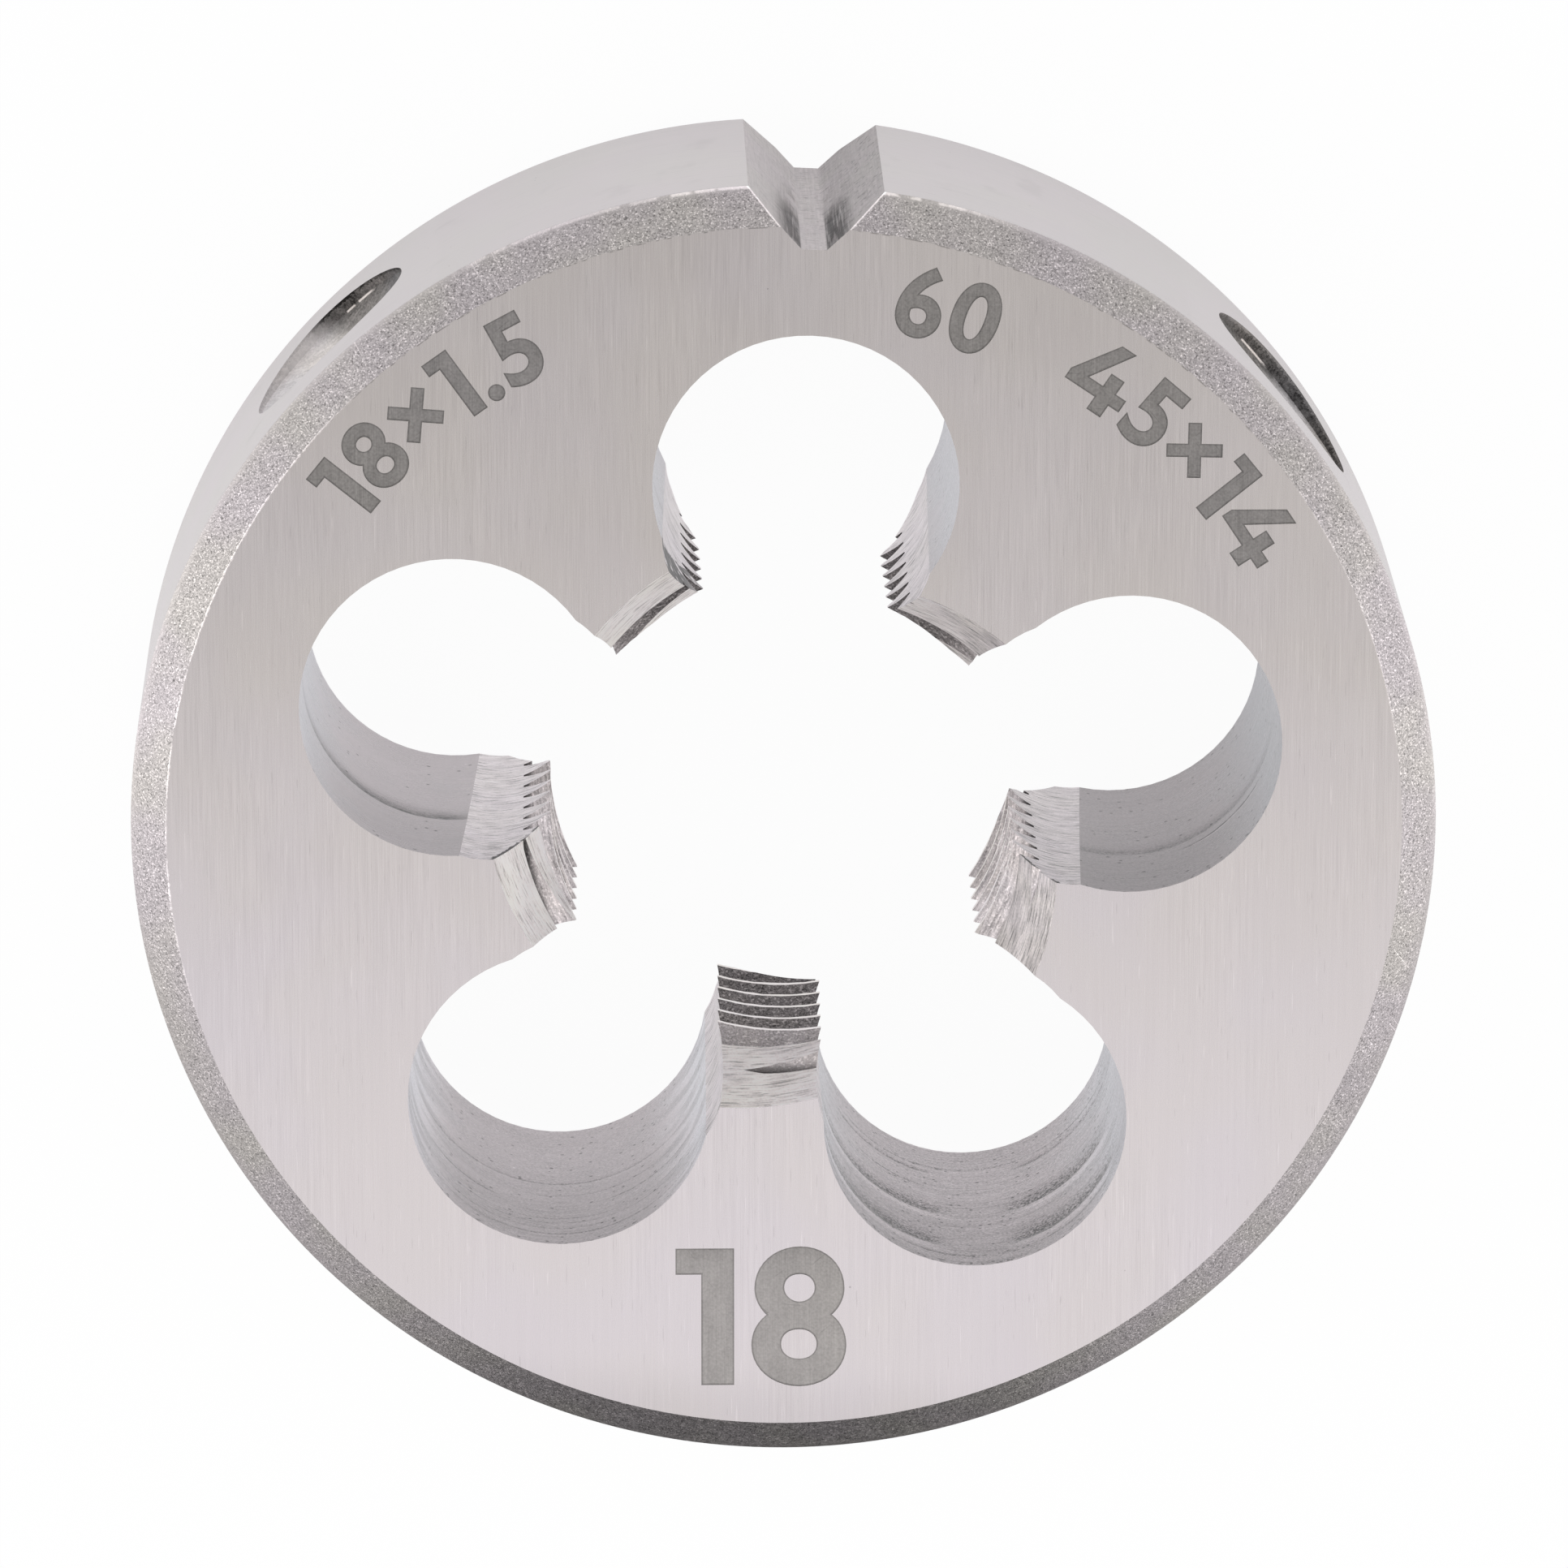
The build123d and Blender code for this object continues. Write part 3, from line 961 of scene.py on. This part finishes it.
def lined(name, level, rough, contrast, hues, size=1.1, fineness=0.055, smudge=0.0, sides=(0.0, 0.0),
          torn=False, cuts=(0.60, 0.70, 1.3)):
    """A ground face whose lines run square to the die's axis.

    sides is how much lighter the left and right lands are, as painted light and shade, and cuts the noise
    from which a deep line starts, where it is full, and how dark it is.
    """
    m = Finish(name, rough, 0.25)
    fine = m.noise((size, size, fineness), 3, rough=0.6)
    band = m.noise((size * 2, size * 2, fineness * 4), 2, shift=3.0)
    cloud = m.noise(1.1, 2, shift=6.0)
    grain = m.noise(0.08, 1, shift=9.0)
    cut = m.ramp(m.noise((size, size, fineness * 0.8), 1, shift=12.0), *cuts[:2])
    tone = m.vary(level, (fine, 2.0 * contrast), (band, 0.7 * contrast), (cloud, 0.12),
                  (grain, 0.7 * contrast))
    tone = m.over(tone, level, (cut, -cuts[2] * contrast))
    if smudge:
        patch = m.patches(0.44, 0.62, (0.7, 0.7, 0.45), 3, shift=4.0)
        tone = m.over(tone, level, (m.times(m.ramp(m.z, 11.0, 13.9), patch), -smudge))
    # Painted light and shade: the left and right lands made lighter or darker
    for reach, change in zip((-1, 1), sides):
        if change:
            tone = m.over(tone, level, (m.ramp(m.x, 4 * reach, 7 * reach), change))
    if torn:
        tone = m.over(tone, level, (lead_edge(m), -0.85))
    m.tint(m.math("MINIMUM", m.floor(tone, 0.06), 0.99), hues, 3.0)
    m.roughen((cloud, 0.12), (fine, 0.1))
    m.bump(m.weigh(0.5, (fine, 0.6), (band, 0.4)), 0.008)
    return m.material


def speckled(name, level):
    """Thread flanks as the tap left them: dark with bright tears, lighter on the side lands by painted light,
    and darkest in the groove bottoms, where shade is painted.
    """
    m = Finish(name, 0.50)
    grain = m.noise((0.075, 0.075, 0.04), 3, rough=0.75)
    tear = m.patches(0.54, 0.66, (0.12, 0.12, 0.05), 2, shift=3.0)
    cloud = m.noise((0.9, 0.9, 0.5), 2, shift=6.0)
    streak = m.noise((0.9, 0.9, 0.05), 2, shift=8.0)
    turn = m.math("DIVIDE", m.math("ARCTAN2", m.y, m.x), 2 * pi)
    height = m.math("SUBTRACT", m.math("MULTIPLY_ADD", turn, -PITCH, m.z),
                    THREAD_START_HEIGHT - TOP_HOLE / 360 * PITCH)
    height = m.math("WRAP", height, PITCH / 2, -PITCH / 2)
    right_front = m.times(m.ramp(m.z, 12.1, 12.3), m.ramp(m.x, 3, 5))
    # Painted shade in the groove bottoms
    deep = m.times(m.ramp(m.math("ABSOLUTE", height), 0.32, 0.10), m.math("SUBTRACT", 1.0, right_front))
    # Painted light on the side lands' flanks
    beside = m.times(m.ramp(m.math("ABSOLUTE", m.x), 5.0, 7.0), m.math("SUBTRACT", 1.0, deep))
    bottom_land = m.ramp(m.y, -6.0, -7.5)
    last = m.times(m.ramp(m.z, 10.1, 10.4), m.ramp(m.z, 11.7, 11.9, 1, 0), bottom_land)
    lens = m.times(m.ramp(m.z, 11.9, 12.1), bottom_land)
    tone = m.over(m.vary(level, (grain, 4.4), (cloud, 0.9)), level, (tear, 1.2),
                  (m.times(beside, m.weigh(1.0, (streak, 3.0))), 1.6), (last, 0.9), (lens, 1.6))
    tone = m.times(tone, m.math("MULTIPLY_ADD", deep, -0.72, 1.0))
    m.tint(m.floor(tone, 0.02), HUES["flank"], 2.0)
    m.roughen((grain, 0.2))
    m.bump(grain, 0.015)
    return m.material


def drilled(name, level, rough, contrast, bright, wall=False):
    """The rough floor or wall of a drilled dimple, with a painted glint on the edge between them, painted
    light at its lower end, and at its upper end painted shade on the floor and painted light on the wall.
    """
    m = Finish(name, rough)
    grain = m.noise(0.09, 3, rough=0.75)
    clump = m.noise(0.30, 2, shift=3.0)
    streak = m.noise((1.2, 1.2, 0.09), 2, shift=5.0)
    # Painted light at the lower end; at the upper end painted shade on the floor and painted light on the
    # wall
    lower = m.ramp(m.y, 15.0, 13.9)
    upper = m.ramp(m.y, 15.8, 16.8)
    depths = [m.math("SUBTRACT", m.along(turned(angle, 1, 0)), DIMPLE_WALL_RADIUS)
              for angle in (LEFT_DIMPLE, RIGHT_DIMPLE)]
    seam = m.math("MAXIMUM", *(m.ramp(m.math("ABSOLUTE", depth), 0.045, 0.02) for depth in depths))
    # A painted highlight on the seam between wall and floor
    glint = m.times(seam, m.ramp(m.y, 14.95, 15.2), m.ramp(m.y, 16.0, 16.25, 1, 0),
                    m.ramp(m.z, THICKNESS / 2, THICKNESS / 2 - 1, 0, 1),
                    m.patches(0.38, 0.46, 0.4, 1, shift=12.0))
    tone = m.vary(level, (grain, 2.4 * contrast), (clump, 0.8 * contrast), (streak, 1.2 * contrast))
    tone = m.over(tone, level, (m.times(lower, m.ramp(m.x, 3, -3)) if wall else lower, bright))
    tone = m.over(tone, 1, (glint, 0.6))
    tone = m.over(tone, level, (upper, 0.8 if wall else -0.25))
    if wall:
        jag = m.noise(0.12, 2, shift=7.0)
        lip = m.math("LESS_THAN", m.math("SUBTRACT", RADIUS, m.radius()),
                     m.math("MULTIPLY_ADD", jag, 0.30, -0.06))
        tone = m.math("MULTIPLY_ADD", lip, m.ramp(m.x, -3, 3, -0.9 * level, 1.2 * level), tone)
    m.tint(m.floor(tone, 0.02), HUES["dimple"], 3.0)
    m.roughen((clump, 0.2))
    m.bump(m.weigh(0.5, (grain, 0.6), (clump, 0.5)), 0.016)
    return m.material


def notch(name, level):
    """The milled V notch, darker in patches beside its floor, fading towards the rear."""
    m = Finish(name, 0.42, 0.2)
    grain = m.noise(0.09, 2, rough=0.7)
    lines = m.noise((0.07, 0.07, 1.8), 3, rough=0.6)
    drag = m.patches(0.54, 0.68, (0.6, 0.6, 0.09), 2, shift=3.0)
    smear = m.patches(0.24, 0.54, (0.11, 0.11, 2.6), 2, shift=4.0)
    aside = m.along(turned(NOTCH_ANGLE, 0, 1))
    spread = m.math("ABSOLUTE", aside)
    root = m.times(m.ramp(spread, NOTCH_HALF_FLOOR, NOTCH_HALF_FLOOR + 0.05),
                   m.ramp(spread, NOTCH_HALF_FLOOR + 0.45, NOTCH_HALF_FLOOR + 1.0, 1, 0))
    darker_beside_floor = m.times(root, m.ramp(m.z, 6.5, 10.5), smear)
    right_side = m.ramp(aside, -0.3, -0.6)
    pit = m.pits(0.42, 0.09, 0.34)
    peck = m.times(m.pits(0.30, 0.10, 0.6, 3.0), m.ramp(aside, -0.9, -1.4))
    tone = m.over(m.vary(level, (lines, 0.45), (smear, 0.10), (grain, 0.55)), level, (darker_beside_floor, -0.68),
                  (right_side, -0.22), (drag, -0.26), (pit, -0.26), (peck, -0.30))
    m.tint(m.floor(tone, 0.04), HUES["notch"], 3.0)
    m.roughen((smear, 0.1))
    m.bump(m.weigh(0.5, (lines, 0.5), (grain, 0.3)), 0.006)
    return m.material


def etched(name, level):
    """Metal darkened by etching. The grinding lines still show in it."""
    m = Finish(name, 0.38, 0.3, ROLL_ACROSS)
    fine, coarse = grinding(m)
    grain = m.noise(0.08, 2, shift=2.0)
    cloud = m.noise((0.8, 1.4, 1), 2, shift=5.0)
    tone = m.vary(level, (fine, 0.60), (coarse, 0.30), (grain, 0.70), (cloud, 0.45))
    # Painted highlight: the lower mark is made lighter
    tone = m.over(tone, level, (m.ramp(m.y, -14, -16), 0.42))
    for turn, shift in ((42, 31.0), (-47, 37.0), (88, 41.0)):
        scratch = m.patches(0.70, 0.79, (0.05, 1.6, 1), 1, turn, shift)
        tone = m.over(tone, level, (scratch, -0.30))
    m.tint(tone, HUES["mark"], 9.0)
    m.roughen((fine, 0.1))
    m.bump(m.weigh(0.5, (fine, 0.6), (grain, 0.5)), 0.003)
    return m.material


MAKERS = {"face": face, "rear": face, "rim": satin, "chamfer": blasted, "crest": lined, "flank": speckled,
          "rake": lined, "lead": lined, "notch": notch, "dimple_wall": drilled, "dimple_floor": drilled,
          "mark": etched, "mark_edge": etched, "hole": ringed}
SETTINGS = {
    "crest": dict(rough=0.35, contrast=0.10, hues=HUES["lead"]),
    "rake": dict(rough=0.40, contrast=0.52, hues=HUES["rake"], size=0.8, fineness=0.058, smudge=0.25,
                 torn=True, sides=(0.0, -0.08), cuts=(0.58, 0.68, 1.2)),
    "lead": dict(rough=0.46, contrast=0.50, hues=HUES["lead"], size=0.8, fineness=0.070,
                 sides=(0.08, -0.20), cuts=(0.54, 0.66, 0.65)),
    "dimple_wall": dict(rough=0.50, contrast=1.5, bright=6.0, wall=True),
    "dimple_floor": dict(rough=0.46, contrast=0.9, bright=1.7),
    **{f"hole_{angle}": dict(angle=angle) for angle in HOLE_ANGLES},
}
for region in REGIONS:
    make, level = MAKERS[kind(region)], LEVELS[kind(region)]
    mesh.materials.append(make("steel_" + region, level, **SETTINGS.get(region, {})))

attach(die, "root")
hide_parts("threading_die")

# ---------------- floor, world and lamps
FLOOR_GAP, FLOOR_COLOUR, FLOOR_SHARES = 0.00002, (0.9, 0.9, 0.9, 1), (0.95, 0.65)
WORLD_STRENGTHS = (0.8, 1.0)


def seen_white(graph, camera, gloss):
    """How much a surface shows as plain white: to the camera, and in metal or glass."""
    path = graph.node("ShaderNodeLightPath")
    shares = {"Is Camera Ray": camera, "Is Glossy Ray": gloss, "Is Transmission Ray": gloss}
    seen = [graph.math("MULTIPLY", path.outputs[ray], share) for ray, share in shares.items()]
    return graph.math("MAXIMUM", graph.math("MAXIMUM", *seen[:2]), seen[2])


# A hair under the rear face, and clear from below, where that face is then seen
bpy.ops.mesh.primitive_plane_add(size=4, location=(0, 0, -FLOOR_GAP))
floor = bpy.context.object
floor.name = "floor"
paper = bpy.data.materials.new("floor")
paper.use_nodes = True
graph = Graph(paper.node_tree)
graph.tree.nodes.clear()
matt = graph.fill(graph.node("ShaderNodeBsdfDiffuse"), FLOOR_COLOUR)
white = graph.node("ShaderNodeEmission").outputs[0]
clear = graph.node("ShaderNodeBsdfTransparent").outputs[0]
behind = graph.node("ShaderNodeNewGeometry").outputs["Backfacing"]
upper_side = graph.fill(graph.node("ShaderNodeMixShader"), seen_white(graph, *FLOOR_SHARES), matt, white)
both_sides = graph.fill(graph.node("ShaderNodeMixShader"), behind, upper_side, clear)
graph.feed(graph.node("ShaderNodeOutputMaterial").inputs["Surface"], both_sides)
floor.data.materials.append(paper)

world = bpy.data.worlds.new("world")
bpy.context.scene.world = world
world.use_nodes = True
graph = Graph(world.node_tree)
sky = graph.tree.nodes["Background"]
sky.inputs["Color"].default_value = (1, 1, 1, 1)
level = graph.node("ShaderNodeMapRange")
graph.feed(sky.inputs["Strength"], graph.fill(level, seen_white(graph, 1, 1), 0, 1, *WORLD_STRENGTHS))


def area(name, location, target, size, power):
    """A rectangular lamp that points at the target."""
    data = bpy.data.lights.new(name, "AREA")
    data.shape = "RECTANGLE"
    data.size, data.size_y = size
    data.energy = power
    lamp = bpy.data.objects.new(name, data)
    lamp.location = location
    lamp.rotation_euler = (Vector(target) - Vector(location)).to_track_quat("-Z", "Y").to_euler()
    bpy.context.scene.collection.objects.link(lamp)


area("strip", (0.01, -0.112, 0.30), (0, -0.012, 0.014), (0.5, 0.08), 0.125)
area("left", (-0.42, -0.03, 0.17), (0, 0, 0.01), (0.30, 0.30), 0.62)
area("right", (0.42, -0.03, 0.17), (0, 0, 0.01), (0.30, 0.30), 0.50)

# A black card in front of the die, which only its gloss sees, gives the lower chamfer its dark line.
CARD_PLACE, CARD_SIZE, CARD_COLOUR = (0.002, -0.048, 0.017), (0.055, 0.034, 1), (0.01, 0.01, 0.01, 1)
bpy.ops.mesh.primitive_plane_add(size=1, location=CARD_PLACE, rotation=(radians(90), 0, 0))
card = bpy.context.object
card.name = "card"
card.scale = CARD_SIZE
black = bpy.data.materials.new("card")
black.use_nodes = True
black.node_tree.nodes["Principled BSDF"].inputs["Base Color"].default_value = CARD_COLOUR
black.node_tree.nodes["Principled BSDF"].inputs["Roughness"].default_value = 1
card.data.materials.append(black)
card.visible_camera = card.visible_diffuse = card.visible_shadow = card.visible_transmission = False
